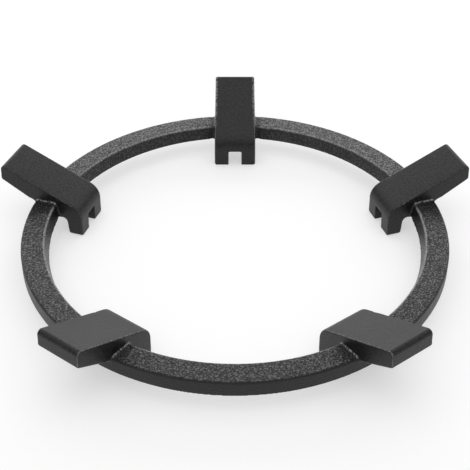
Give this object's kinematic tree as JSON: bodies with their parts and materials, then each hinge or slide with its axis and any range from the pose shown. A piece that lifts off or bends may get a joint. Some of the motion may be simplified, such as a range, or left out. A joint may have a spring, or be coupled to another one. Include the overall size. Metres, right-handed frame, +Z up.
{
  "type": "cast iron wok support",
  "caption": "Cast iron ring with sloping lugs that carry a round-bottomed wok over a gas burner; each lug's inner end is a forked foot that straddles a bar of the pan support.",
  "frame": {"origin": "on the ring's axis, in the plane that the feet stand on", "axes": "+Z up along the ring's axis; +Y towards the rear lug; +X to the right seen from the front, between the two front lugs"},
  "size_m": [0.2376, 0.2261, 0.0345],
  "materials": {
    "cast_iron": "black, satin on the lugs, coarse sand-cast grain on the ring's top face"
  },
  "bodies": {
    "root": {"wok_support": "cast_iron"}
  },
  "joints": []
}
